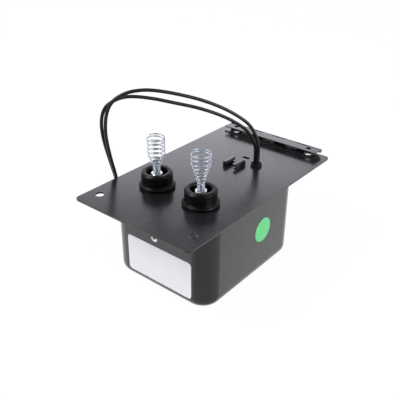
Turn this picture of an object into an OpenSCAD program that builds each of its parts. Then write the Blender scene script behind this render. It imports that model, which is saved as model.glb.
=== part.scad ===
// Ignition transformer for an oil burner: a drawn steel case hung under a hinged base plate,
// with two high-voltage bushings, flared contact springs and two supply leads on top.
// Millimetres. Z is up, the case stands on z = 0, and the plate is centred on x = 0, y = 0.

/* [Base plate] */
// Width of the plate, left to right
plate_w = 114; // [108:1:124]
// Length of the plate, front to rear
plate_l = 190; // [186:1:210]
// Thickness of the plate's sheet
plate_t = 1.5; // [1:0.1:2.5]
// Radius of the plate's corners
plate_corner_r = 4; // [1:0.5:8]
// Distance between the two front screw holes
front_hole_gap = 93; // [86:1:98]
// Distance of the front screw holes from the front edge
front_hole_inset = 16.5; // [9:0.5:17]
// Diameter of the front screw holes
front_hole_d = 7; // [4:0.5:8]
// Length of the two lanced hooks
hook_l = 12.6; // [8:0.2:18]
// Height of the hooks above the plate
hook_h = 4.4; // [3.4:0.2:6]
// Width across the outsides of the two hooks
hook_span = 14.6; // [12:0.2:18]
// Centre of the hooks, right of the middle
hook_x = 2.4; // [-4:0.2:4]
// Centre of the hooks, behind the middle
hook_y = 28.6; // [20:0.2:30]
// Open space between the lips of the two hooks
hook_throat = 6.8; // [5:0.2:8]
// Length of the slot behind the hooks, left to right
slot_l = 6.6; // [4:0.2:12]
// Width of the slot, front to rear
slot_w = 3.2; // [1:0.2:4]
// Space between the hooks and the slot
slot_gap = 10.8; // [6:0.2:14]

/* [Hinge] */
// Width of the hinge, left to right
hinge_w = 97.6; // [94:0.4:104]
// Depth of each leaf from the rear edge of the plate
leaf_d = 12; // [11.6:0.2:14]
// Thickness of the leaf's sheet
leaf_t = 0.9; // [0.6:0.1:1]
// Height of the swinging leaf's top above the plate
leaf_rise = 5.7; // [5:0.1:8]
// Number of knuckles along the hinge
knuckles = 8; // [4:2:12]
// Diameter of the hinge pin
hinge_pin_d = 1.4; // [1:0.1:1.6]
// Distance of the hinge holes from the ends of the hinge
hinge_hole_end = 9.8; // [7:0.2:14]
// Distance of the hinge holes from the rear edge of the plate
hinge_hole_inset = 6.5; // [6.4:0.1:7.4]
// Diameter of the screw holes in the swinging leaf
leaf_hole_d = 4.6; // [3:0.2:4.8]
// Diameter of the clearance holes in the fixed leaf and the plate
clearance_hole_d = 7.4; // [5:0.2:8]

/* [Case] */
// Width of the case, left to right
case_w = 98; // [94:1:101]
// Length of the case, front to rear
case_l = 120; // [112:1:122]
// Height of the case
case_h = 75; // [73:1:90]
// Middle of the case, in front of the plate's middle
case_offset = 6; // [3:0.5:7]
// Wall of the case
case_t = 1.2; // [0.8:0.1:2]
// Radius of the case's upright corners
case_corner_r = 16; // [12:1:22]
// Radius round the floor of the case
case_floor_r = 8; // [4:1:10]
// Width of the flange round the case's mouth
rim_w = 5; // [3:0.5:5.5]
// Diameter of the earthing rivet's head
rivet_head_d = 6.8; // [5:0.2:9]
// Height of the earthing rivet above the floor
rivet_z = 49; // [47:1:60]
// Place of the earthing rivet, left or right of the middle
rivet_x = -2; // [-20:1:20]
// Width of the rating label
label_w = 66; // [40:1:66]
// Height of the rating label
label_h = 33; // [20:1:36]
// Radius of the rating label's corners
label_corner_r = 3; // [1:0.5:6]
// Middle of the rating label, right of the middle
label_x = 1.5; // [-4:0.5:4]
// Diameter of the round sticker
sticker_d = 21; // [12:1:28]
// Middle of the sticker, behind the plate's middle
sticker_y = 6; // [-20:1:20]
// Height of the sticker's middle above the floor
sticker_z = 42; // [30:1:50]

/* [Bushings and springs] */
// Distance between the two bushings
bushing_gap = 44.4; // [40:0.4:50]
// Distance of the bushings in front of the plate's middle
bushing_inset = 40; // [38:0.5:43]
// Outer diameter of a bushing's cup
cup_d = 25; // [22:0.5:27]
// Height of a bushing's cup above the plate
cup_h = 13.2; // [12:0.2:18]
// Diameter of the cup's bore
cup_bore_d = 16; // [13:0.5:18]
// Diameter of the foot flange of a bushing
foot_d = 28.4; // [27.8:0.2:32]
// Height of the foot flange
foot_h = 2.8; // [2:0.2:4]
// Diameter of the terminal stud
stud_d = 3.5; // [3:0.1:3.5]
// Length of the stud above the nut
stud_reach = 5.5; // [3:0.5:7]
// Length of the stud below the plate
stud_tail = 20; // [16:1:24]
// Distance across the flats of the terminal nut
nut_af = 8.5; // [7:0.5:9]
// Thickness of the terminal nut
nut_t = 3; // [2:0.2:4]
// Diameter of the spring wire
wire_d = 1; // [0.8:0.1:1]
// Outer diameter of the spring's flared top
spring_top_d = 15; // [12:0.2:20]
// Outer diameter of the spring's close-wound stem
spring_stem_d = 5.9; // [5.9:0.1:8]
// Height of the spring above the terminal nut
spring_h = 30.5; // [26:0.5:40]

/* [Leads] */
// Diameter of each supply lead
lead_d = 2.8; // [2.4:0.1:2.8]
// Height of the grommet's ring above the plate
grommet_h = 2.4; // [1.6:0.1:4]
// Diameter of the grommet's ring
grommet_d = 9.4; // [9:0.2:12]
// Distance of the grommet's middle from the rear of the case
grommet_inset = 14; // [10:1:20]

/* [Core and coils] */
// Gap between the core and each side wall of the case
core_side_gap = 2.8; // [1.5:0.1:6]
// Length of the laminated core, front to rear
core_l = 78; // [74:1:82]
// Height of the lamination stack
stack_h = 24; // [18:1:26]
// Width of the core's middle limb
limb_w = 18; // [14:1:20]
// Outer height of the coils
coil_h = 52; // [46:1:56]
// Width of the primary coil along the limb
primary_w = 20; // [14:1:22]
// Gap between each secondary coil and the core's end leg
coil_end_gap = 2; // [1:0.5:6]
// Radius of the coils' corners
coil_corner_r = 7; // [4:0.5:9]
// Thickness of each magnetic shunt
shunt_w = 5; // [3:0.5:6]

/* [Hidden] */
$fn = 64;

// Heights and edges that several pieces share
plate_z = case_h;
top_z = plate_z + plate_t;
rear_y = plate_l / 2;
front_y = -plate_l / 2;
case_y = -case_offset;
case_front_y = case_y - case_l / 2;
paper_t = 0.2;

// Hinge: a pin axis near the rear edge, with the leaves tangent to its barrel
pin_play = 0.1;
leaf_set = 0.15;
barrel_d = hinge_pin_d + 2 * pin_play + 2 * leaf_t;
pin_y = rear_y - barrel_d / 2;
pin_z = top_z + leaf_rise - barrel_d / 2;
knuckle_w = hinge_w / knuckles;
knuckle_play = 0.15;
notch_play = 0.4;
leaf_front_y = rear_y - leaf_d;
hinge_hole_y = rear_y - hinge_hole_inset;
hinge_hole_gap = hinge_w - 2 * hinge_hole_end;

// Hooks: how far each one reaches, and the radius outside its bend
hook_reach = (hook_span - hook_throat) / 2;
hook_bend_r = plate_t + 0.3;
hook_lip_r = 0.8;
slot_shift = -0.9;

// Bushings and terminals
bushing_x = bushing_gap / 2;
bushing_y = -bushing_inset;
cup_top_z = top_z + cup_h;
cup_floor_z = top_z + 2.5;
spigot_d = 21;
spigot_len = 8;
pedestal_d = 9;
nut_z = cup_top_z - 4.6;
stud_top_z = nut_z + nut_t + stud_reach;
stud_bottom_z = plate_z - stud_tail;
spring_z = nut_z + nut_t;

// Spring: turns of the close-wound stem, the flare, the wide top and its last, closer turn
stem_turns = 4.5;
flare_turns = 5;
top_turns = 2;
last_turns = 1;
stem_pitch = wire_d * 1.15;
stem_len = stem_turns * stem_pitch;
top_stretch = 1.15;
last_stretch = 0.55;
flare_pitch = (spring_h - wire_d - stem_len)
    / (flare_turns + top_turns * top_stretch + last_turns * last_stretch);
flare_step = 0.7;
wire_sides = 6;
turn_steps = 18;
all_turns = stem_turns + flare_turns + top_turns + last_turns;

// Grommet and leads: the leads come out of a web that lies low inside the grommet's ring
grommet_x = 17;
grommet_y = case_y + case_l / 2 - grommet_inset;
grommet_waist_d = 7.6;
grommet_bore_d = 6.8;
grommet_flange_t = 1.3;
web_rise = 0.9;
lead_gap = 3;
grommet_top_z = top_z + web_rise;
lead_sides = 8;
bare_d = 1.2;
bare_len = 9;

// Points that each supply lead passes through, from the grommet to its stripped end
outer_route = [[18.5, 40, 77.4], [18.5, 40, 86], [18.4, 39.6, 95], [17, 37.4, 104],
               [13, 32, 115], [6, 23.4, 124], [-2.6, 12.7, 132], [-13.5, -0.8, 139.4],
               [-25.7, -15.8, 145.2], [-35.3, -27.5, 148.4], [-41.6, -35.2, 149],
               [-47.3, -42.1, 147.8], [-52.9, -48.9, 144], [-56.6, -53.2, 138],
               [-59, -55.6, 128.6], [-60.2, -56, 116.4], [-60.4, -54.6, 104],
               [-60, -52.2, 90], [-59.4, -49.6, 77], [-59.2, -47, 60], [-59.4, -44, 40],
               [-60, -40, 22], [-60.6, -34, 9.5], [-61, -25, 3.8], [-61.2, -14, 1.9],
               [-61, -2, 1.5], [-60.4, 10, 1.4], [-59.6, 22, 1.4], [-59, 34, 1.4]];
inner_route = [[15.5, 40, 77.4], [15.5, 40, 87], [14.6, 39.4, 96], [10.2, 34.6, 107.4],
               [3.8, 27, 115.6], [-5.2, 16.3, 123.4], [-16.5, 2.8, 130.4], [-29, -12.3, 136],
               [-38.8, -24.2, 140.2], [-48.5, -36, 142.8], [-55, -43.9, 142],
               [-60.7, -50.9, 137.6], [-63.6, -54.2, 131.2], [-64.9, -55.4, 122.6],
               [-65.2, -54.8, 112], [-64.8, -52.6, 99.6], [-63.8, -49.7, 86], [-63, -47, 74],
               [-62.8, -44, 58], [-63.2, -40.6, 40], [-64.2, -36, 22], [-65.2, -29.6, 9.5],
               [-65.8, -20.5, 3.8], [-66, -9.5, 1.9], [-65.8, 2.5, 1.5], [-65.2, 14.5, 1.4],
               [-64.4, 26.5, 1.4], [-63.6, 38.5, 1.4]];

// Core and coils, around a middle limb that runs left to right
core_z = case_h / 2;
core_w = case_w - 2 * (case_t + core_side_gap);
leg_w = limb_w / 2;
window_w = core_w - 2 * leg_w;
window_l = (core_l - limb_w - 2 * leg_w) / 2;
former_t = 1;
coil_play = 0.5;
coil_l = limb_w + 2 * (window_l - coil_play);
shunt_x = primary_w / 2 + coil_play + shunt_w / 2;
secondary_from = shunt_x + shunt_w / 2 + coil_play;
secondary_w = window_w / 2 - coil_end_gap - secondary_from;
secondary_x = secondary_from + secondary_w / 2;
secondary_wire_d = 1.6;
secondary_wire_z = stud_bottom_z + 3;
coil_top_z = core_z + coil_h / 2;
tail_foot = [5, 12, coil_top_z];
lead_rings = 40;
tail_rings = 14;
fill_z = case_h - 2;

// Shared outlines and solids

function arc_points(cx, cy, r, from, to, steps) =
    [for (i = [0:steps]) let (a = from + (to - from) * i / steps) [cx + r * cos(a), cy + r * sin(a)]];

// A rectangle with rounded corners, centred on the origin
module rounded_sheet(w, l, r) {
    polygon(concat(arc_points(w / 2 - r, l / 2 - r, r, 0, 90, 6),
                   arc_points(r - w / 2, l / 2 - r, r, 90, 180, 6),
                   arc_points(r - w / 2, r - l / 2, r, 180, 270, 6),
                   arc_points(w / 2 - r, r - l / 2, r, 270, 360, 6)));
}

// A drawn tub: upright corners and a rounded floor, standing on z = 0
module tub(w, l, h, corner_r, floor_r) {
    hull()
        for (sx = [-1, 1], sy = [-1, 1])
            translate([sx * (w / 2 - corner_r), sy * (l / 2 - corner_r), 0])
                rotate_extrude($fn = 48)
                    polygon(concat([[0, 0]],
                                   arc_points(corner_r - floor_r, floor_r, floor_r, 270, 360, 8),
                                   [[corner_r, h], [0, h]]));
}

// A straight round rod between two points
module rod(from, to, d) {
    v = to - from;
    len = norm(v);
    translate(from)
        rotate([0, acos(v[2] / len), atan2(v[1], v[0])])
            cylinder(d = d, h = len);
}

// Round holes at both sides of the middle line
module hole_pair(gap, y, d) {
    for (sx = [-1, 1])
        translate([sx * gap / 2, y, 0])
            cylinder(d = d, h = 3 * top_z, center = true);
}

function unit(v) = v / norm(v);

// Quads that join each ring of a swept tube to the next
function tube_sides(rings, sides) =
    [for (i = [0:rings - 2], j = [0:sides - 1])
        let (k = (j + 1) % sides)
        [i * sides + j, (i + 1) * sides + j, (i + 1) * sides + k, i * sides + k]];

module tube_from_rings(points, rings, sides) {
    polyhedron(points,
               concat(tube_sides(rings, sides),
                      [[for (j = [0:sides - 1]) j]],
                      [[for (j = [sides - 1:-1:0]) (rings - 1) * sides + j]]),
               convexity = 8);
}

// Drawn steel case

module case() {
    color([0.06, 0.06, 0.065])
        difference() {
            union() {
                translate([0, case_y, 0])
                    tub(case_w, case_l, case_h, case_corner_r, case_floor_r);
                translate([0, case_y, case_h - case_t])
                    linear_extrude(case_t)
                        rounded_sheet(case_w + 2 * rim_w, case_l + 2 * rim_w, case_corner_r + rim_w);
            }
            translate([0, case_y, 0])
                case_inside(case_h + 1);
            translate([rivet_x, case_front_y, rivet_z])
                rotate([90, 0, 0])
                    cylinder(d = rivet_head_d / 2, h = 4 * case_t, center = true);
        }
}

// The space inside the case, up to a given height
module case_inside(h) {
    translate([0, 0, case_t])
        tub(case_w - 2 * case_t, case_l - 2 * case_t, h - case_t,
            case_corner_r - case_t, case_floor_r - case_t);
}

// Base plate with its lanced hooks

module hook_profile() {
    lip_z = hook_h - plate_t - hook_lip_r;
    polygon(concat([[0, -plate_t]],
                   arc_points(hook_bend_r, hook_h - hook_bend_r, hook_bend_r, 180, 90, 5),
                   arc_points(hook_reach - hook_lip_r, hook_h - hook_lip_r, hook_lip_r, 90, 0, 3),
                   [[hook_reach, lip_z], [hook_reach - 0.9, lip_z]],
                   arc_points(hook_bend_r, hook_h - hook_bend_r, hook_bend_r - plate_t, 90, 180, 3),
                   [[plate_t, -plate_t]]));
}

module hook() {
    translate([-hook_span / 2, hook_l / 2, top_z])
        rotate([90, 0, 0])
            linear_extrude(hook_l)
                hook_profile();
}

module hook_window() {
    translate([plate_t - hook_span / 2, -hook_l / 2, plate_z - 1])
        cube([hook_reach - plate_t, hook_l, plate_t + 2]);
}

module base_plate() {
    color([0.09, 0.09, 0.095]) {
        difference() {
            translate([0, 0, plate_z])
                linear_extrude(plate_t)
                    rounded_sheet(plate_w, plate_l, plate_corner_r);
            hole_pair(front_hole_gap, front_y + front_hole_inset, front_hole_d);
            hole_pair(hinge_hole_gap, hinge_hole_y, clearance_hole_d);
            hole_pair(bushing_gap, bushing_y, spigot_d);
            translate([grommet_x, grommet_y, plate_z - 1])
                cylinder(d = grommet_waist_d, h = plate_t + 2);
            translate([hook_x, hook_y, 0]) {
                hook_window();
                mirror([1, 0, 0])
                    hook_window();
            }
            translate([hook_x + slot_shift - slot_l / 2, hook_y + hook_l / 2 + slot_gap, plate_z - 1])
                cube([slot_l, slot_w, plate_t + 2]);
        }
        translate([hook_x, hook_y, 0]) {
            hook();
            mirror([1, 0, 0])
                hook();
        }
    }
}

// Hinge: two leaves with alternate knuckles on one pin

// True for the knuckles that belong to the swinging leaf
function on_swing_leaf(i) = i % 2 == 1;

// Left end of knuckle i
function knuckle_x(i) = -hinge_w / 2 + i * knuckle_w;

module barrel(i) {
    translate([knuckle_x(i) + knuckle_play, pin_y, pin_z])
        rotate([0, 90, 0])
            cylinder(d = barrel_d, h = knuckle_w - 2 * knuckle_play);
}

module pin_bore() {
    translate([-hinge_w, pin_y, pin_z])
        rotate([0, 90, 0])
            cylinder(d = hinge_pin_d + 2 * pin_play, h = 2 * hinge_w);
}

module hinge_fixed_leaf() {
    color([0.1, 0.1, 0.105])
        difference() {
            union() {
                translate([-hinge_w / 2, leaf_front_y, top_z])
                    cube([hinge_w, pin_y - barrel_d / 2 - notch_play - leaf_front_y, leaf_t]);
                for (i = [0:knuckles - 1])
                    if (!on_swing_leaf(i)) {
                        barrel(i);
                        translate([knuckle_x(i) + knuckle_play, leaf_front_y, top_z])
                            cube([knuckle_w - 2 * knuckle_play, leaf_d - leaf_set, leaf_t]);
                        translate([knuckle_x(i) + knuckle_play, rear_y - leaf_set - leaf_t, top_z])
                            cube([knuckle_w - 2 * knuckle_play, leaf_t, pin_z - top_z]);
                    }
            }
            pin_bore();
            intersection() {
                hole_pair(hinge_hole_gap, hinge_hole_y, clearance_hole_d);
                translate([-hinge_w, leaf_front_y, plate_z])
                    cube([2 * hinge_w, leaf_d, plate_t + 1.5 * leaf_t]);
            }
        }
}

module hinge_swing_leaf() {
    leaf_z = top_z + leaf_rise - leaf_set - leaf_t;
    color([0.1, 0.1, 0.105])
        difference() {
            union() {
                translate([-hinge_w / 2, leaf_front_y, leaf_z])
                    cube([hinge_w, pin_y - barrel_d / 2 - notch_play - leaf_front_y, leaf_t]);
                for (i = [0:knuckles - 1])
                    if (on_swing_leaf(i)) {
                        barrel(i);
                        translate([knuckle_x(i) + knuckle_play, leaf_front_y, leaf_z])
                            cube([knuckle_w - 2 * knuckle_play, pin_y - leaf_front_y, leaf_t]);
                    }
            }
            pin_bore();
            hole_pair(hinge_hole_gap, hinge_hole_y, leaf_hole_d);
        }
}

module hinge_pin() {
    color([0.12, 0.12, 0.125])
        translate([-hinge_w / 2, pin_y, pin_z])
            rotate([0, 90, 0])
                cylinder(d = hinge_pin_d, h = hinge_w);
}

// High-voltage bushings with stud, nut and spring, one on each side

module on_side(side) {
    translate([side * bushing_x, bushing_y, 0])
        children();
}

// Moulded cup: foot flange on the plate, spigot through it, pedestal for the stud
module bushing(side) {
    rim_chamfer = 1.2;
    cup_r = cup_d / 2;
    bore_r = cup_bore_d / 2;
    color([0.03, 0.03, 0.03])
        on_side(side)
            rotate_extrude()
                polygon(concat([[stud_d / 2, plate_z - spigot_len], [spigot_d / 2, plate_z - spigot_len],
                                [spigot_d / 2, top_z]],
                               arc_points(foot_d / 2 - foot_h / 2, top_z + foot_h / 2, foot_h / 2, -90, 90, 8),
                               [[cup_r, top_z + foot_h], [cup_r, cup_top_z - rim_chamfer],
                                [cup_r - rim_chamfer, cup_top_z], [bore_r + 0.8, cup_top_z],
                                [bore_r, cup_top_z - 0.8], [bore_r, cup_floor_z],
                                [pedestal_d / 2, cup_floor_z], [pedestal_d / 2, nut_z],
                                [stud_d / 2, nut_z]]));
}

module bushing_left() { bushing(-1); }
module bushing_right() { bushing(1); }

module terminal_stud(side) {
    point = 0.5;
    color([0.7, 0.7, 0.72])
        on_side(side)
            rotate_extrude()
                polygon([[0, stud_bottom_z], [stud_d / 2, stud_bottom_z], [stud_d / 2, stud_top_z - point],
                         [stud_d / 2 - point, stud_top_z], [0, stud_top_z]]);
}

module terminal_stud_left() { terminal_stud(-1); }
module terminal_stud_right() { terminal_stud(1); }

// Hexagon nut with its corners turned round, stopped at a different angle on each side
module terminal_nut(side) {
    across_corners = nut_af / cos(30);
    color([0.85, 0.85, 0.86])
        on_side(side)
            rotate(side > 0 ? 9 : 39)
            difference() {
                intersection() {
                    translate([0, 0, nut_z])
                        cylinder(d = across_corners, h = nut_t, $fn = 6);
                    rotate_extrude()
                        polygon([[0, nut_z], [nut_af / 2, nut_z], [across_corners / 2, nut_z + 0.6],
                                 [across_corners / 2, nut_z + nut_t - 0.6],
                                 [nut_af / 2, nut_z + nut_t], [0, nut_z + nut_t]]);
                }
                translate([0, 0, nut_z - 1])
                    cylinder(d = stud_d, h = nut_t + 2);
            }
}

module terminal_nut_left() { terminal_nut(-1); }
module terminal_nut_right() { terminal_nut(1); }

// Height and radius of the wire's middle after a number of turns
function within(turn, from, turns) = min(turns, max(0, turn - from));
function spring_height(turn) =
    within(turn, 0, stem_turns) * stem_pitch
    + flare_pitch * (within(turn, stem_turns, flare_turns)
                     + within(turn, stem_turns + flare_turns, top_turns) * top_stretch
                     + within(turn, stem_turns + flare_turns + top_turns, last_turns) * last_stretch);
function spring_radius(turn) =
    let (s = within(turn, stem_turns, flare_turns) / flare_turns)
    (spring_stem_d - wire_d) / 2 + min(1, 4 * s) * flare_step
    + pow(s, 1.6) * ((spring_top_d - spring_stem_d) / 2 - flare_step);

// One ring of points round the wire
function wire_ring(turn) =
    let (a = 360 * turn, r = spring_radius(turn), z = spring_height(turn))
    [for (j = [0:wire_sides - 1])
        let (b = 360 * j / wire_sides, rr = r + wire_d / 2 * cos(b))
        [rr * cos(a), rr * sin(a), z + wire_d / 2 * sin(b)]];

module contact_spring(side) {
    rings = all_turns * turn_steps + 1;
    points = [for (i = [0:rings - 1]) for (p = wire_ring(i / turn_steps)) p];
    color([0.8, 0.85, 0.9])
        on_side(side)
            translate([0, 0, spring_z + wire_d / 2])
                tube_from_rings(points, rings, wire_sides);
}

module contact_spring_left() { contact_spring(-1); }
module contact_spring_right() { contact_spring(1); }

// Grommet and supply leads

// Upright holes for the two leads
module lead_holes(d, z, h) {
    for (sx = [-1, 1])
        translate([grommet_x + sx * lead_gap / 2, grommet_y, z])
            cylinder(d = d, h = h);
}

module lead_grommet() {
    waist_r = grommet_waist_d / 2;
    flange_r = grommet_d / 2;
    bore_r = grommet_bore_d / 2;
    low = plate_z - grommet_flange_t;
    high = top_z + grommet_h;
    color([0.02, 0.02, 0.02])
        difference() {
            translate([grommet_x, grommet_y, 0])
                rotate_extrude()
                    polygon([[0, low], [flange_r - 0.5, low], [flange_r, low + 0.5], [flange_r, plate_z],
                             [waist_r, plate_z], [waist_r, top_z], [flange_r, top_z],
                             [flange_r, high - 0.7], [flange_r - 0.4, high], [bore_r + 0.3, high],
                             [bore_r, high - 0.4], [bore_r, grommet_top_z], [0, grommet_top_z]]);
            lead_holes(lead_d, low - 1, grommet_top_z);
        }
}

// A smooth curve through a route's points: t runs from 0 to 1 between points i and i + 1
function curve_point(p, i, t) =
    let (n = len(p) - 1, a = p[max(0, i - 1)], b = p[i], c = p[i + 1], d = p[min(n, i + 2)])
    0.5 * (2 * b + (c - a) * t + (2 * a - 5 * b + 4 * c - d) * t * t + (3 * b - a - 3 * c + d) * t * t * t);

// Evenly shared points along the curve
function route_middles(p, rings) =
    [for (k = [0:rings - 1])
        let (s = k * (len(p) - 1) / (rings - 1), i = min(floor(s), len(p) - 2))
        curve_point(p, i, s - i)];

function heading(p, i) =
    i == 0 ? [0, 0, 1] : unit(p[min(len(p) - 1, i + 1)] - p[i - 1]);

// Rings stay square to the route and keep one side facing along the plate
function lead_ring(p, i) =
    let (h = heading(p, i), side = unit(cross(h, [0.77, -0.64, 0])), up = cross(side, h))
    [for (j = [0:lead_sides - 1])
        let (b = 360 * (j + 0.5) / lead_sides)
        p[i] + lead_d / 2 * (cos(b) * side + sin(b) * up)];

module lead_tube(route, rings) {
    p = route_middles(route, rings);
    color([0.03, 0.03, 0.03])
        tube_from_rings([for (i = [0:rings - 1]) for (q = lead_ring(p, i)) q], rings, lead_sides);
}

module supply_lead_outer() { lead_tube(outer_route, lead_rings); }
module supply_lead_inner() { lead_tube(inner_route, lead_rings); }

// Stripped copper strands at the far ends of the leads
module bare_end(route) {
    last = route[len(route) - 1];
    rod(last, last + bare_len * unit(last - route[len(route) - 2]), bare_d);
}

module lead_bare_ends() {
    color([0.8, 0.45, 0.25]) {
        bare_end(outer_route);
        bare_end(inner_route);
    }
}

// The leads' own ends inside the case, from the top of the primary coil to the grommet
function tail_route(sx) =
    let (foot = tail_foot + [3 * sx, 0, 0], run_z = coil_top_z + 4.5 + 1.7 * sx,
         out = [grommet_x + sx * lead_gap / 2, grommet_y, 0], way = unit([out[0], out[1]] - [foot[0], foot[1]]))
    [foot, foot + [0.4 * way[0], 0.4 * way[1], (run_z - coil_top_z) * 0.6],
     [foot[0] + 3.2 * way[0], foot[1] + 3.2 * way[1], run_z],
     [out[0] - 12 * way[0], out[1] - 12 * way[1], run_z],
     [out[0] - 4 * way[0], out[1] - 4 * way[1], run_z + 0.3],
     [out[0] - 0.5 * way[0], out[1] - 0.5 * way[1], run_z + 3],
     [out[0], out[1], plate_z], [out[0], out[1], grommet_top_z]];

module lead_tails() {
    for (sx = [-1, 1])
        lead_tube(tail_route(sx), tail_rings);
}

// Label, sticker and rivet on the case

module rating_label() {
    color([0.95, 0.95, 0.96])
        translate([label_x, case_front_y, case_floor_r + label_h / 2])
            rotate([90, 0, 0])
                linear_extrude(paper_t)
                    rounded_sheet(label_w, label_h, label_corner_r);
}

module round_sticker() {
    color([0.45, 0.87, 0.58])
        translate([case_w / 2, sticker_y, sticker_z])
            rotate([0, 90, 0])
                cylinder(d = sticker_d, h = paper_t);
}

// Hollow rivet, closed over the inside of the case wall
module earthing_rivet() {
    shank_r = rivet_head_d / 4;
    head_r = rivet_head_d / 2;
    head_t = 0.9;
    bore_r = shank_r - 0.6;
    color([0.8, 0.8, 0.82])
        translate([rivet_x, case_front_y, rivet_z])
            rotate([90, 0, 0])
                rotate_extrude()
                    polygon([[bore_r, -case_t - 0.8], [shank_r + 0.9, -case_t - 0.8],
                             [shank_r + 0.9, -case_t], [shank_r, -case_t], [shank_r, 0], [head_r, 0],
                             [head_r, head_t / 2], [head_r - 0.5, head_t], [bore_r + 0.5, head_t],
                             [bore_r, head_t / 2]]);
}

// Core, coils and filling

module core_laminations() {
    color([0.4, 0.4, 0.42])
        translate([0, case_y, core_z - stack_h / 2])
            difference() {
                translate([-core_w / 2, -core_l / 2, 0])
                    cube([core_w, core_l, stack_h]);
                for (sy = [-1, 1])
                    translate([-window_w / 2, sy * (limb_w + window_l) / 2 - window_l / 2, -1])
                        cube([window_w, window_l, stack_h + 2]);
            }
}

module magnetic_shunts() {
    color([0.45, 0.45, 0.47])
        for (sx = [-1, 1], sy = [-1, 1])
            translate([sx * shunt_x - shunt_w / 2,
                       case_y + sy * (limb_w / 2 + former_t + (window_l - former_t - coil_play) / 2)
                           - (window_l - former_t - coil_play) / 2,
                       core_z - stack_h / 2])
                cube([shunt_w, window_l - former_t - coil_play, stack_h]);
}

// Square tube round the middle limb
module coil_former() {
    color([0.6, 0.5, 0.35])
        translate([0, case_y, core_z])
            difference() {
                cube([window_w - 1, limb_w + 2 * former_t, stack_h + 2 * former_t], center = true);
                cube([window_w + 1, limb_w, stack_h], center = true);
            }
}

// A winding with rounded corners on the former, centred at x along the limb
module winding(x, w) {
    translate([x - w / 2, case_y, core_z])
        rotate([90, 0, 90])
            linear_extrude(w)
                difference() {
                    rounded_sheet(coil_l, coil_h, coil_corner_r);
                    square([limb_w + 2 * former_t, stack_h + 2 * former_t], center = true);
                }
}

module primary_coil() {
    color([0.7, 0.35, 0.2])
        winding(0, primary_w);
}

module secondary_coil_left() {
    color([0.75, 0.5, 0.3])
        winding(-secondary_x, secondary_w);
}

module secondary_coil_right() {
    color([0.75, 0.5, 0.3])
        winding(secondary_x, secondary_w);
}

// Short wire from a secondary coil to the foot of its stud
module secondary_wire(side) {
    color([0.75, 0.45, 0.25])
        rod([side * bushing_x, case_y - coil_l / 2, secondary_wire_z],
            [side * bushing_x, bushing_y + stud_d / 2, secondary_wire_z], secondary_wire_d);
}

module secondary_wire_left() { secondary_wire(-1); }
module secondary_wire_right() { secondary_wire(1); }

// Black filling, cast round everything in the case
module potting_compound() {
    color([0.05, 0.045, 0.04])
        difference() {
            translate([0, case_y, 0])
                case_inside(fill_z);
            core_laminations();
            magnetic_shunts();
            coil_former();
            primary_coil();
            secondary_coil_left();
            secondary_coil_right();
            for (side = [-1, 1]) {
                on_side(side)
                    translate([0, 0, plate_z - spigot_len])
                        cylinder(d = spigot_d, h = 2 * spigot_len);
                terminal_stud(side);
                secondary_wire(side);
            }
            lead_tails();
            earthing_rivet();
        }
}

case();
base_plate();
hinge_fixed_leaf();
hinge_swing_leaf();
hinge_pin();
bushing_left();
bushing_right();
terminal_stud_left();
terminal_stud_right();
terminal_nut_left();
terminal_nut_right();
contact_spring_left();
contact_spring_right();
lead_grommet();
supply_lead_outer();
supply_lead_inner();
lead_bare_ends();
lead_tails();
rating_label();
round_sticker();
earthing_rivet();
core_laminations();
magnetic_shunts();
coil_former();
primary_coil();
secondary_coil_left();
secondary_coil_right();
secondary_wire_left();
secondary_wire_right();
potting_compound();
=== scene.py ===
import math
import bpy
from mathutils import Matrix, Vector


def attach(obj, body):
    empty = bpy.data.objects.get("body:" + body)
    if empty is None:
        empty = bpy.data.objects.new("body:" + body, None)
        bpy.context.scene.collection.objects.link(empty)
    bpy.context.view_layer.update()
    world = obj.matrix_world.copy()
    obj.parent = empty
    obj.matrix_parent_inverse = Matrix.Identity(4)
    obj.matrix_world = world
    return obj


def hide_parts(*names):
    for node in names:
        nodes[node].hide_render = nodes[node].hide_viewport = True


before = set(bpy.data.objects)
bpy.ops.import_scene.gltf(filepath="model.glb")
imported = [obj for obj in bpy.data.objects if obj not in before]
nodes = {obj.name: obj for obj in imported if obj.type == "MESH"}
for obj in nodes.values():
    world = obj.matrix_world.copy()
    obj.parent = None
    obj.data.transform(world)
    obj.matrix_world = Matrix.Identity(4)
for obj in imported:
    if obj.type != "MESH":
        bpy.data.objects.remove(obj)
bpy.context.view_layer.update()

bpy.ops.object.select_all(action="DESELECT")
bpy.context.scene.view_settings.view_transform = "Standard"


# Camera: where the photograph was taken from, worked out from the corners of the plate.
# It looks down over the front left corner, from about half a metre away.

aim = Vector((0, 0, 0.0765))
turn, lift, tilt = math.radians(39.22), math.radians(29.53), math.radians(0.36)
back = Vector((math.sin(turn) * math.cos(lift), -math.cos(turn) * math.cos(lift), math.sin(lift)))
level = Vector((0, 0, 1)).cross(back).normalized()
upright = back.cross(level)
right = level * math.cos(tilt) + upright * math.sin(tilt)
top = upright * math.cos(tilt) - level * math.sin(tilt)
stand = aim + back * 0.46756 - right * 0.008903 - top * 0.01943
bpy.ops.object.camera_add()
camera = bpy.context.object
camera.name = "camera"
camera.matrix_world = Matrix((right, top, back)).transposed().to_4x4()
camera.matrix_world.translation = stand
camera.data.sensor_width = 36
camera.data.lens = 51.63
camera.data.clip_start = 0.01
bpy.context.scene.camera = camera


# Supply leads: two stiff single-core leads with dull black insulation. They stand up out
# of the grommet, arch over to the left and drop down beside the case to their stripped ends.

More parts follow.
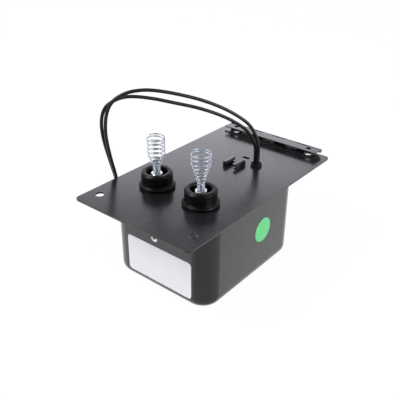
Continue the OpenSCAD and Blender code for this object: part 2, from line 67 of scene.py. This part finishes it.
class Wire:
    """A socket in a material's nodes. Sums, differences and products add Math nodes."""

    def __init__(self, tree, socket=None):
        self.tree = tree
        self.socket = socket

    def node(self, kind, settings=None, sockets=None, out=0):
        made = self.tree.nodes.new("ShaderNode" + kind)
        for key, value in (settings or {}).items():
            if key == "stops":
                stops = made.color_ramp.elements
                while len(stops) < len(value):
                    stops.new(0.5)
                for stop, (place, shade) in zip(stops, value):
                    stop.position = place
                    stop.color = (shade, shade, shade, 1)
            else:
                setattr(made, key, value)
        for key, value in (sockets or {}).items():
            if isinstance(value, Wire):
                self.tree.links.new(value.socket, made.inputs[key])
            else:
                made.inputs[key].default_value = value
        return Wire(self.tree, made.outputs[out] if made.outputs else None)

    def sum(self, kind, first, second):
        return self.node("Math", {"operation": kind}, {0: first, 1: second})

    def __add__(self, other): return self.sum("ADD", self, other)
    def __radd__(self, other): return self.sum("ADD", other, self)
    def __sub__(self, other): return self.sum("SUBTRACT", self, other)
    def __rsub__(self, other): return self.sum("SUBTRACT", other, self)
    def __mul__(self, other): return self.sum("MULTIPLY", self, other)
    def __rmul__(self, other): return self.sum("MULTIPLY", other, self)

    def ramp(self, *stops):
        return self.node("ValToRGB", {"stops": stops}, {0: self})

    def mix(self, first, second):
        return self.node("Mix", {"data_type": "RGBA"}, {0: self, 6: first, 7: second}, out=2)

    def noise(self, place, scale, detail=2.0, rough=0.5):
        sockets = {"Vector": place, "Scale": scale, "Detail": detail, "Roughness": rough}
        return self.node("TexNoise", {}, sockets)

    def stretch(self, place, x, y, z):
        return self.node("Mapping", {}, {0: place, 3: (x, y, z)})

    def bump(self, height, depth, strength=1.0):
        return self.node("Bump", {}, {"Height": height, "Distance": depth, "Strength": strength})


def start_finish(name):
    """A new material: returns it with a wire to write its nodes on, and the Object coordinates."""
    finish = bpy.data.materials.new(name)
    finish.use_nodes = True
    finish.node_tree.nodes.clear()
    wire = Wire(finish.node_tree)
    return finish, wire, wire.node("TexCoord", out=3)


def end_finish(wire, sockets):
    """Puts the Principled shader and the output under what start_finish began."""
    skin = wire.node("BsdfPrincipled", {}, sockets)
    wire.node("OutputMaterial", {}, {0: skin})


def paint(piece, finish):
    piece.data.materials.clear()
    piece.data.materials.append(finish)


def smooth_route(points, steps):
    """Points in metres along a smooth curve through a route that is given in millimetres."""
    out = []
    for i in range(len(points) - 1):
        a, b, c, d = (Vector(points[j]) for j in (max(0, i - 1), i, i + 1, min(len(points) - 1, i + 2)))
        for k in range(steps):
            t = k / steps
            p = 2 * b + (c - a) * t + (2 * a - 5 * b + 4 * c - d) * t * t + (3 * b - a - 3 * c + d) * t ** 3
            out.append(p * 0.0005)
    return out + [Vector(points[-1]) * 0.001]


def wire_along(name, points, thickness, sides=4):
    """A round wire whose middle follows the points."""
    bpy.ops.curve.primitive_nurbs_path_add()
    wire = bpy.context.object
    wire.name = name
    line = wire.data
    line.splines.clear()
    run = line.splines.new("POLY")
    run.points.add(len(points) - 1)
    for knot, p in zip(run.points, points):
        knot.co = (*p, 1)
    line.dimensions = "3D"
    line.twist_mode = "MINIMUM"
    line.bevel_depth = thickness / 2
    line.bevel_resolution = sides
    line.use_fill_caps = True
    run.use_smooth = True
    return wire


insulation, wire, place = start_finish("lead_insulation")
dust = wire.noise(place, 900, 3).ramp((0.45, 0), (0.75, 1))
scuffs = wire.noise(wire.stretch(place, 1, 1, 0.3), 260, 4, 0.6).ramp((0.5, 0), (0.7, 1))
grain = wire.noise(place, 2600, 2)
end_finish(wire, {
    "Base Color": (dust * 0.5).mix((0.008, 0.008, 0.008, 1), (0.026, 0.026, 0.026, 1)),
    "Roughness": 0.36 + scuffs * 0.16,
    "Normal": wire.bump(grain + scuffs * 0.5, 0.000015, 0.5)})

outer_route = [
    (18.5, 40, 77.4), (18.5, 40, 86), (18.4, 39.6, 95), (17, 37.4, 104), (13, 32, 115), (6, 23.4, 124),
    (-2.6, 12.7, 132), (-13.5, -0.8, 139.4), (-25.7, -15.8, 145.2), (-35.3, -27.5, 148.4),
    (-41.6, -35.2, 149), (-47.3, -42.1, 147.8), (-52.9, -48.9, 144), (-56.6, -53.2, 138),
    (-59, -55.6, 128.6), (-60.2, -56, 116.4), (-60.4, -54.6, 104), (-60, -52.2, 90),
    (-59.4, -49.6, 77), (-59.2, -47, 60), (-59.4, -44, 40), (-60, -40, 22), (-60.6, -34, 9.5),
    (-61, -25, 3.8), (-61.2, -14, 1.9), (-61, -2, 1.5), (-60.4, 10, 1.4), (-59.6, 22, 1.4), (-59, 34, 1.4)]
inner_route = [
    (15.5, 40, 77.4), (15.5, 40, 87), (14.6, 39.4, 96), (10.2, 34.6, 107.4), (3.8, 27, 115.6),
    (-5.2, 16.3, 123.4), (-16.5, 2.8, 130.4), (-29, -12.3, 136), (-38.8, -24.2, 140.2),
    (-48.5, -36, 142.8), (-55, -43.9, 142), (-60.7, -50.9, 137.6), (-63.6, -54.2, 131.2),
    (-64.9, -55.4, 122.6), (-65.2, -54.8, 112), (-64.8, -52.6, 99.6), (-63.8, -49.7, 86),
    (-63, -47, 74), (-62.8, -44, 58), (-63.2, -40.6, 40), (-64.2, -36, 22), (-65.2, -29.6, 9.5),
    (-65.8, -20.5, 3.8), (-66, -9.5, 1.9), (-65.8, 2.5, 1.5), (-65.2, 14.5, 1.4), (-64.4, 26.5, 1.4),
    (-63.6, 38.5, 1.4)]
lead_thickness = 0.0028

copper, wire, place = start_finish("copper_strands")
tarnish = wire.noise(place, 400, 4, 0.6).ramp((0.4, 0), (0.75, 1))
end_finish(wire, {
    "Base Color": tarnish.mix((0.82, 0.44, 0.26, 1), (0.48, 0.25, 0.14, 1)),
    "Metallic": 1.0,
    "Roughness": 0.22 + tarnish * 0.25,
    "Normal": wire.bump(wire.noise(place, 3000, 2), 0.00002, 0.5)})


def twisted_strands(name, start, way, length):
    """Seven fine copper strands, six twisted round one, as the lead's stripped end shows them."""
    side = way.cross(Vector((0, 0, 1))).normalized()
    over = side.cross(way)
    strands = []
    for n in range(7):
        reach = 0 if n == 0 else 0.0004
        points = []
        for k in range(25):
            t = k / 24
            spin = math.radians(60 * n + 300 * t)
            off = (side * math.cos(spin) + over * math.sin(spin)) * reach
            points.append(start + way * (length * t * (1 - 0.02 * (n % 3))) + off)
        strands.append(wire_along(f"{name}_{n}", points, 0.0004, 2))
    bpy.ops.object.select_all(action="DESELECT")
    for strand in strands:
        strand.select_set(True)
    bpy.context.view_layer.objects.active = strands[0]
    bpy.ops.object.convert(target="MESH")
    bpy.ops.object.join()
    bundle = bpy.context.object
    bundle.name = name
    bpy.ops.object.shade_smooth()
    return bundle


for name, node, route in (("lead_outer", "supply_lead_outer", outer_route),
                          ("lead_inner", "supply_lead_inner", inner_route)):
    points = smooth_route(route, 6)
    lead = wire_along(name, points, lead_thickness)
    paint(lead, insulation)
    way = (points[-1] - points[-2]).normalized()
    end = twisted_strands(name + "_strands", points[-1] - way * 0.0004, way, 0.0094)
    paint(end, copper)
    for piece in (lead, end):
        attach(piece, "root")
    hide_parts(node)
    sum((b - a).length for a, b in zip(points, points[1:]))
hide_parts("lead_bare_ends")
paint(nodes["lead_tails"], insulation)


# Case: a steel can drawn in one piece, with a rounded floor and a flange at its mouth that
# is spot-welded under the plate. It is enamelled satin black inside and out.

black_enamel, wire, place = start_finish("black_paint")
cloud = wire.noise(place, 35, 3, 0.5).ramp((0.35, 0), (0.7, 1))
peel = wire.noise(place, 520, 2, 0.4)
fine = wire.noise(place, 2400, 2, 0.5)
motes = wire.noise(place, 1500, 2, 0.7).ramp((0.66, 0), (0.72, 1))
end_finish(wire, {
    "Base Color": (motes * 0.3 + cloud * 0.15).mix((0.011, 0.011, 0.0125, 1), (0.045, 0.045, 0.048, 1)),
    "Roughness": 0.235 + cloud * 0.05 + motes * 0.1,
    "Normal": wire.bump(peel + fine * 0.1, 0.000025, 0.5),
    "IOR": 1.55,
    "Coat Weight": 0.35,
    "Coat Roughness": 0.16})


def begin_edit(piece):
    bpy.ops.object.select_all(action="DESELECT")
    piece.select_set(True)
    bpy.context.view_layer.objects.active = piece
    bpy.ops.object.mode_set(mode="EDIT")
    bpy.ops.mesh.select_mode(type="VERT")
    bpy.ops.mesh.select_all(action="DESELECT")


def end_edit():
    bpy.ops.object.mode_set(mode="OBJECT")


def pick(piece, kind, wanted):
    """Selects the edges, faces or vertices of the piece for which wanted(element) is true."""
    bpy.ops.mesh.select_mode(type={"edges": "EDGE", "polygons": "FACE", "vertices": "VERT"}[kind])
    bpy.ops.mesh.select_all(action="DESELECT")
    bpy.ops.object.mode_set(mode="OBJECT")
    for element in getattr(piece.data, kind):
        element.select = wanted(element)
    bpy.ops.object.mode_set(mode="EDIT")


def settle(piece, angle=32):
    """Puts the piece's place into its mesh and shades it smooth between its sharp edges."""
    bpy.ops.object.select_all(action="DESELECT")
    piece.select_set(True)
    bpy.context.view_layer.objects.active = piece
    bpy.ops.object.transform_apply(location=True, rotation=True, scale=True)
    bpy.ops.object.shade_smooth_by_angle(angle=math.radians(angle))
    bpy.ops.object.select_all(action="DESELECT")


def use_modifier(piece, kind, **settings):
    bpy.ops.object.select_all(action="DESELECT")
    piece.select_set(True)
    bpy.context.view_layer.objects.active = piece
    bpy.ops.object.modifier_add(type=kind)
    modifier = piece.modifiers[-1]
    for key, value in settings.items():
        setattr(modifier, key, value)
    bpy.ops.object.modifier_apply(modifier=modifier.name)


case_size = Vector((0.098, 0.120, 0.0738))
case_middle = Vector((0, -0.006, 0.0369))
bpy.ops.mesh.primitive_cube_add(size=1, location=case_middle, scale=case_size)
shell = bpy.context.object
shell.name = "case_shell"
settle(shell)
begin_edit(shell)
ends = lambda edge: [shell.data.vertices[v].co for v in edge.vertices]
pick(shell, "edges", lambda edge: abs(ends(edge)[0].z - ends(edge)[1].z) > 0.05)
bpy.ops.mesh.bevel(offset=0.016, segments=14)
pick(shell, "edges", lambda edge: max(p.z for p in ends(edge)) < 0.001)
bpy.ops.mesh.bevel(offset=0.008, segments=8)
pick(shell, "polygons", lambda face: face.center.z > 0.0737)
bpy.ops.mesh.inset(thickness=0.0001, use_outset=False)
bpy.ops.mesh.delete(type="FACE")
pick(shell, "edges", lambda edge: min(p.z for p in ends(edge)) > 0.0737)
bpy.ops.mesh.remove_doubles(threshold=0.00015)
pick(shell, "edges", lambda edge: min(p.z for p in ends(edge)) > 0.0737)
bpy.ops.mesh.extrude_edges_move()
bpy.ops.transform.resize(value=(108 / 98, 130 / 120, 1), center_override=(0, -0.006, 0.0738))
pick(shell, "edges", lambda edge: min(p.z for p in ends(edge)) > 0.0737
     and max(abs(p.x) for p in ends(edge)) < 0.0491 and max(abs(p.y + 0.006) for p in ends(edge)) < 0.0601)
bpy.ops.mesh.bevel(offset=0.0014, segments=4)
end_edit()
use_modifier(shell, "SOLIDIFY", thickness=0.00118, offset=-1)
use_modifier(shell, "BEVEL", width=0.0002, segments=2, limit_method="ANGLE", angle_limit=math.radians(50))
settle(shell)
paint(shell, black_enamel)
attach(shell, "root")
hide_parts("case")


# Core and coils: a stack of thin steel sheets with its primary and two secondary coils on a
# paper former, set in black bitumen that fills the case. None of it shows once it is sealed.

sheet_steel, wire, place = start_finish("core_steel")
height = wire.node("SeparateXYZ", {}, {0: place}, out=2)
layer = wire.node("Math", {"operation": "FRACT"}, {0: height * 2000})
seam = layer.ramp((0.0, 1), (0.12, 0))
end_finish(wire, {
    "Base Color": seam.mix((0.33, 0.33, 0.34, 1), (0.08, 0.075, 0.07, 1)),
    "Metallic": 0.9,
    "Roughness": 0.4 + seam * 0.3,
    "Normal": wire.bump(1 - seam, 0.00008, 0.7)})
paint(nodes["core_laminations"], sheet_steel)
paint(nodes["magnetic_shunts"], sheet_steel)

paper_board, wire, place = start_finish("pressed_paper")
fibres = wire.noise(wire.stretch(place, 1, 3, 3), 500, 5, 0.6)
end_finish(wire, {
    "Base Color": fibres.mix((0.42, 0.3, 0.16, 1), (0.58, 0.45, 0.27, 1)),
    "Roughness": 0.75 + fibres * 0.1,
    "Normal": wire.bump(fibres, 0.0001, 0.5)})
paint(nodes["coil_former"], paper_board)

winding_wire, wire, place = start_finish("wound_copper")
along = wire.node("SeparateXYZ", {}, {0: place}, out=0)
strand = wire.node("Math", {"operation": "PINGPONG"}, {0: along * 1600, 1: 1.0})
tint = wire.noise(place, 120, 3)
end_finish(wire, {
    "Base Color": (tint * 0.6 + strand * 0.3).mix((0.35, 0.13, 0.05, 1), (0.72, 0.36, 0.16, 1)),
    "Metallic": 0.7,
    "Roughness": 0.3 + tint * 0.2,
    "Normal": wire.bump(strand, 0.0002, 0.8)})
for name in ("primary_coil", "secondary_coil_left", "secondary_coil_right"):
    paint(nodes[name], winding_wire)
for name in ("secondary_wire_left", "secondary_wire_right"):
    paint(nodes[name], copper)

bitumen, wire, place = start_finish("black_filling")
pour = wire.noise(place, 60, 4, 0.55)
end_finish(wire, {
    "Base Color": pour.mix((0.012, 0.011, 0.009, 1), (0.03, 0.027, 0.022, 1)),
    "Roughness": 0.3 + pour * 0.35,
    "Normal": wire.bump(pour, 0.0006, 0.6)})
paint(nodes["potting_compound"], bitumen)


# Base plate: sheet steel, blanked and pierced, with two hooks lanced up out of it. Its cut
# edges are a little rounded by the tool and by the enamel.

def softened(name, node, width, segments=2, angle=30):
    """A copy of a CAD node with its flat faces joined and its sharp edges rounded."""
    bpy.ops.object.select_all(action="DESELECT")
    source = nodes[node]
    copy = bpy.data.objects.new(name, source.data.copy())
    bpy.context.scene.collection.objects.link(copy)
    begin_edit(copy)
    bpy.ops.mesh.select_all(action="SELECT")
    bpy.ops.mesh.remove_doubles(threshold=0.000005)
    bpy.ops.mesh.dissolve_limited(angle_limit=math.radians(1))
    end_edit()
    use_modifier(copy, "BEVEL", width=width, segments=segments, limit_method="ANGLE",
                 angle_limit=math.radians(angle), miter_outer="MITER_ARC", use_clamp_overlap=True)
    settle(copy, 40)
    use_modifier(copy, "WEIGHTED_NORMAL", mode="FACE_AREA", weight=100, keep_sharp=True)
    return copy


plate = softened("base_plate_sheet", "base_plate", 0.0004)
paint(plate, black_enamel)
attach(plate, "root")
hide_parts("base_plate")


# Hinge: two pressed steel leaves whose knuckles are rolled round one pin. The fixed leaf is
# spot-welded to the plate, the other swings and takes the screws. Painted over with the rest.

for name, node, body in (("hinge_leaf_fixed", "hinge_fixed_leaf", "root"),
                         ("hinge_leaf_swing", "hinge_swing_leaf", "mounting_leaf")):
    leaf = softened(name, node, 0.00012)
    paint(leaf, black_enamel)
    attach(leaf, body)
    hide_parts(node)

pin_steel, wire, place = start_finish("hinge_steel")
rub = wire.noise(wire.stretch(place, 0.2, 1, 1), 700, 3)
end_finish(wire, {
    "Base Color": rub.mix((0.03, 0.03, 0.03, 1), (0.1, 0.1, 0.1, 1)),
    "Metallic": 0.6,
    "Roughness": 0.35 + rub * 0.2,
    "Normal": wire.bump(rub, 0.00003, 0.5)})
paint(nodes["hinge_pin"], pin_steel)


# Bushings: two cups moulded in black phenolic, each with a foot flange on the plate, a spigot
# through it, and a pedestal inside that carries the terminal. The rim is chamfered.

def turned(name, rings, sides=96):
    """A piece of revolution round Z, from its rings (radius, height) in millimetres in order. The
    first circle is extruded and resized to each next ring, and a radius of 0 closes a pole."""
    first, height = rings[0]
    bpy.ops.mesh.primitive_circle_add(vertices=sides, radius=max(first, 0.01) / 1000,
                                      location=(0, 0, height / 1000))
    piece = bpy.context.object
    piece.name = name
    bpy.ops.object.transform_apply(location=True)
    bpy.ops.object.mode_set(mode="EDIT")
    bpy.ops.mesh.select_all(action="SELECT")
    last = max(first, 0.01)
    for radius, z in rings[1:]:
        bpy.ops.mesh.extrude_edges_move(TRANSFORM_OT_translate={"value": (0, 0, (z - height) / 1000)})
        share = max(radius, 0.01) / last
        bpy.ops.transform.resize(value=(share, share, 1), center_override=(0, 0, z / 1000))
        last, height = max(radius, 0.01), z
    bpy.ops.mesh.select_all(action="SELECT")
    bpy.ops.mesh.remove_doubles(threshold=0.00003)
    bpy.ops.mesh.normals_make_consistent(inside=False)
    bpy.ops.object.mode_set(mode="OBJECT")
    return piece


def round_over(r, z, radius, start, stop, steps):
    """Ring sizes along a rounded edge, from one angle to another in degrees."""
    angles = [math.radians(start + (stop - start) * k / steps) for k in range(steps + 1)]
    return [(r + radius * math.cos(a), z + radius * math.sin(a)) for a in angles]


phenolic, wire, place = start_finish("moulded_black")
flow = wire.noise(place, 90, 3)
pores = wire.noise(place, 1800, 3, 0.6)
end_finish(wire, {
    "Base Color": flow.mix((0.001, 0.001, 0.001, 1), (0.0025, 0.0025, 0.0028, 1)),
    "Roughness": 0.3 + flow * 0.1,
    "Normal": wire.bump(pores + flow, 0.00003, 0.5),
    "Specular IOR Level": 0.22})

plate_top = 76.5
cup_rings = (
    [(1.75, 85.1), (1.75, 67.0), (10.2, 67.0)] + round_over(10.2, 67.3, 0.3, -90, 0, 2)
    + [(10.5, 76.5)]
    + round_over(12.8, plate_top + 1.7, 1.7, -90, 90, 12)
    + [(12.9, plate_top + 3.4), (12.5, plate_top + 3.9), (12.5, 88.2)]
    + round_over(12.2, 88.2, 0.3, 0, 45, 3)[1:]
    + round_over(11.2, 89.4, 0.3, 45, 90, 3)
    + round_over(9.0, 89.2, 0.5, 90, 135, 2)
    + [(8.2, 88.6), (8.0, 88.0), (8.0, 79.4)] + round_over(7.6, 79.4, 0.4, 0, -90, 3)[1:]
    + [(4.9, 79.0), (4.5, 79.4), (4.5, 84.8), (4.2, 85.1), (1.75, 85.1)])
cup = turned("bushing_cup", cup_rings)
settle(cup, 35)
for side, name in ((-1, "bushing_left"), (1, "bushing_right")):
    bushing = bpy.data.objects.new(name + "_cup", cup.data.copy())
    bpy.context.scene.collection.objects.link(bushing)
    bushing.location = (side * 0.0222, -0.040, 0)
    settle(bushing, 35)
    paint(bushing, phenolic)
    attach(bushing, "root")
    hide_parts(name)
bpy.data.objects.remove(cup)


# Terminals: a threaded stud moulded into each bushing, and a chamfered hexagon nut. The
# stud is zinc plated, the nut bright nickel.

zinc, wire, place = start_finish("zinc_plate")
bloom = wire.noise(place, 700, 3, 0.6)
end_finish(wire, {
    "Base Color": bloom.mix((0.48, 0.53, 0.6, 1), (0.7, 0.75, 0.84, 1)),
    "Metallic": 0.9,
    "Roughness": 0.3 + bloom * 0.16,
    "Normal": wire.bump(wire.noise(place, 3000, 2), 0.00002, 0.4)})

nickel, wire, place = start_finish("nickel_plate")
haze = wire.noise(place, 500, 3)
lines = wire.noise(wire.stretch(place, 1, 1, 8), 900, 2)
end_finish(wire, {
    "Base Color": haze.mix((0.84, 0.84, 0.85, 1), (0.94, 0.94, 0.95, 1)),
    "Metallic": 0.85,
    "Roughness": 0.14 + lines * 0.12,
    "Normal": wire.bump(lines, 0.00002, 0.4)})

thread = [(1.75, 55.0)]
for turn_number in range(12):
    z = 84.6 + turn_number * 0.7
    thread += [(1.75, z), (1.74, z + 0.12), (1.49, z + 0.33), (1.49, z + 0.4), (1.74, z + 0.6)]
stud_rings = [(0, 55.0)] + thread + [(1.65, 93.1), (1.3, 93.6), (0, 93.6)]
stud = turned("stud_thread", stud_rings, 32)
settle(stud, 25)
for side, name in ((-1, "left"), (1, "right")):
    bolt = bpy.data.objects.new("stud_" + name, stud.data.copy())
    bpy.context.scene.collection.objects.link(bolt)
    bolt.location = (side * 0.0222, -0.040, 0)
    settle(bolt, 25)
    paint(bolt, zinc)
    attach(bolt, "root")
    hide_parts("terminal_stud_" + name)
    nut = softened("nut_" + name, "terminal_nut_" + name, 0.00012)
    paint(nut, nickel)
    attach(nut, "root")
    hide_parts("terminal_nut_" + name)
bpy.data.objects.remove(stud)


# Contact springs: bright zinc-plated spring wire. A close-wound stem grips the stud, then the
# coil flares out to a wide open top that presses on the electrode's strap.

spring_wire = 0.001
stem_turns, last_turns = 4.5, 1
stem_pitch = spring_wire * 1.15
stem_rise = stem_turns * stem_pitch


def within(turn, start, turns):
    return min(turns, max(0, turn - start))


for side, name, flare_turns, top_turns, top_swell in ((-1, "left", 3.4, 3.6, 0.0036), (1, "right", 5, 2, 0.0040)):
    flare_pitch = (0.0305 - spring_wire - stem_rise) / (flare_turns + top_turns * 1.15 + last_turns * 0.55)
    coil = []
    steps = 40
    for k in range(int((stem_turns + flare_turns + top_turns + last_turns) * steps) + 1):
        t = k / steps
        rise = (within(t, 0, stem_turns) * stem_pitch
                + flare_pitch * (within(t, stem_turns, flare_turns)
                                 + within(t, stem_turns + flare_turns, top_turns) * 1.15
                                 + within(t, stem_turns + flare_turns + top_turns, last_turns) * 0.55))
        share = within(t, stem_turns, flare_turns) / flare_turns
        radius = 0.00245 + min(1, 4 * share) * 0.0007 + share ** 1.5 * top_swell
        coil.append(Vector((side * 0.0222 + radius * math.cos(2 * math.pi * t),
                            -0.040 + radius * math.sin(2 * math.pi * t),
                            0.0881 + spring_wire / 2 + rise)))
    spring = wire_along("spring_" + name, coil, spring_wire * 0.99, 3)
    bpy.ops.object.select_all(action="DESELECT")
    spring.select_set(True)
    bpy.context.view_layer.objects.active = spring
    bpy.ops.object.convert(target="MESH")
    settle(spring, 60)
    paint(spring, zinc)
    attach(spring, "root")
    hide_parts("contact_spring_" + name)


# Grommet: black rubber, snapped into its hole in the plate, with a short neck that holds
# the two leads. Its lower flange lies inside the case.

rubber, wire, place = start_finish("black_rubber")
skin = wire.noise(place, 1400, 3, 0.6)
bloomed = wire.noise(place, 180, 3).ramp((0.4, 0), (0.7, 1))
end_finish(wire, {
    "Base Color": (bloomed * 0.5).mix((0.003, 0.003, 0.003, 1), (0.012, 0.012, 0.012, 1)),
    "Roughness": 0.5 + bloomed * 0.18,
    "Normal": wire.bump(skin, 0.00005, 0.6),
    "Specular IOR Level": 0.25})
grommet_rings = (
    [(3.2, 77.4), (3.2, 73.7), (4.2, 73.7)] + round_over(4.2, 74.2, 0.5, -90, 0, 4)
    + [(4.7, 75.0), (3.8, 75.0), (3.8, 76.5), (4.7, 76.5)]
    + round_over(4.0, 78.2, 0.7, 0, 90, 6)
    + round_over(3.9, 78.4, 0.5, 90, 180, 5)
    + [(3.4, 77.7), (3.1, 77.4), (0, 77.4)])
grommet = turned("lead_grommet_rubber", grommet_rings, 64)
grommet.location = (0.017, 0.040, 0)
settle(grommet, 35)
paint(grommet, rubber)
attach(grommet, "root")
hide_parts("lead_grommet")


# Labels and rivet: a white film label and a round green paper sticker, both left without
# print, and a hollow nickel-plated rivet for the earthing screw.

white_film, wire, place = start_finish("white_label")
tone = wire.noise(place, 70, 3)
weave = wire.noise(place, 2200, 3, 0.6)
end_finish(wire, {
    "Base Color": tone.mix((0.81, 0.82, 0.84, 1), (0.87, 0.875, 0.89, 1)),
    "Roughness": 0.38 + weave * 0.12,
    "Normal": wire.bump(weave + tone * 3, 0.00004, 0.4)})
label = softened("label_film", "rating_label", 0.00006)
paint(label, white_film)
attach(label, "root")
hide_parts("rating_label")

green_paper, wire, place = start_finish("green_sticker")
fibre = wire.noise(place, 1300, 4, 0.6)
tone = wire.noise(place, 120, 2)
end_finish(wire, {
    "Base Color": (tone * 0.6 + fibre * 0.3).mix((0.11, 0.58, 0.2, 1), (0.19, 0.71, 0.3, 1)),
    "Roughness": 0.5 + fibre * 0.15,
    "Normal": wire.bump(fibre, 0.00004, 0.5)})
sticker = softened("sticker_paper", "round_sticker", 0.00006)
paint(sticker, green_paper)
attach(sticker, "root")
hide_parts("round_sticker")

rivet_rings = (
    [(1.1, -2.0), (2.6, -2.0), (2.6, -1.2), (1.7, -1.2), (1.7, 0), (3.3, 0)]
    + round_over(3.1, 0.3, 0.3, -45, 45, 3) + round_over(2.5, 0.1, 0.8, 45, 90, 4)
    + round_over(1.7, 0.4, 0.5, 90, 135, 2) + round_over(1.5, 0.2, 0.4, 135, 180, 3) + [(1.1, -2.0)])
rivet = turned("rivet_hollow", rivet_rings, 64)
rivet.rotation_euler = (math.radians(90), 0, 0)
rivet.location = (-0.002, -0.066, 0.049)
settle(rivet, 40)
paint(rivet, nickel)
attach(rivet, "root")
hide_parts("earthing_rivet")


# Studio: a white floor and surroundings, as in a catalogue photograph, and soft lamps.

floor_paint, wire, place = start_finish("floor_paint")
by_camera = wire.node("LightPath", out=0)
seen = by_camera + wire.node("LightPath", out=3) + wire.node("LightPath", out=6)
came_from = wire.node("NewGeometry", out=4)
toward_camera = wire.node("VectorMath", {"operation": "DOT_PRODUCT"}, {0: came_from, 1: (-0.848, 0.53, 0)}, out=1)
# Seen in reflections, the floor on the camera side of the object glows at about half strength. This is a painted
# dark reflection; seen directly, the floor stays evenly white.
painted_reflection_shade = toward_camera.ramp((0.07, 1.0), (0.13, 0.5), (0.8, 0.42))
plain = wire.node("BsdfDiffuse", {}, {0: (0.8, 0.8, 0.8, 1)})
glow = wire.node("Emission", {}, {0: by_camera.mix(painted_reflection_shade, (1.03, 1.03, 1.03, 1)), 1: 1.0})
share = wire.node("Math", {"operation": "MULTIPLY", "use_clamp": True}, {0: seen, 1: 0.93})
wire.node("OutputMaterial", {}, {0: wire.node("MixShader", {}, {0: share, 1: plain, 2: glow})})
bpy.ops.mesh.primitive_plane_add(size=8, location=(0, 0, -0.0002))
floor = bpy.context.object
floor.name = "floor"
paint(floor, floor_paint)

world = bpy.data.worlds.new("studio")
bpy.context.scene.world = world
world.use_nodes = True
world.node_tree.nodes.clear()
wire = Wire(world.node_tree)
looks = wire.node("LightPath", out=0)
way = wire.node("TexCoord", out=0)
upward = wire.node("SeparateXYZ", {}, {0: way}, out=2)
toward_camera = wire.node("VectorMath", {"operation": "DOT_PRODUCT"}, {0: way, 1: (0.26, -0.966, 0)}, out=1)
dark_side = wire.node("LightPath", out=3) * toward_camera.ramp((0.0, 0), (0.35, 0.9))
sky = upward.ramp((0.0, 1.0), (0.4, 0.95), (0.56, 0.4), (1.0, 0.2)) * (1 - dark_side)
shade = looks.mix(sky.mix((0, 0, 0, 1), (0.99, 0.98, 1.05, 1)), (1, 1, 1, 1))
wire.node("OutputWorld", {}, {0: wire.node("Background", {}, {0: shade, 1: 1.0})})


def lamp(name, spot, size, power, colour=(1, 1, 1)):
    bpy.ops.object.light_add(type="AREA", location=spot)
    light = bpy.context.object
    light.name = name
    light.data.size = size
    light.data.energy = power
    light.data.color = colour
    light.rotation_euler = (Vector((0, 0, 0.06)) - Vector(spot)).to_track_quat("-Z", "Y").to_euler()


lamp("key_lamp", (-0.7, -0.9, 1.3), 0.7, 15)
lamp("side_lamp", (1.45, 0.1, 0.7), 0.8, 12)
lamp("rear_lamp", (-1.28, 1.53, 0.55), 1.1, 3.7, (0.98, 0.97, 1.08))
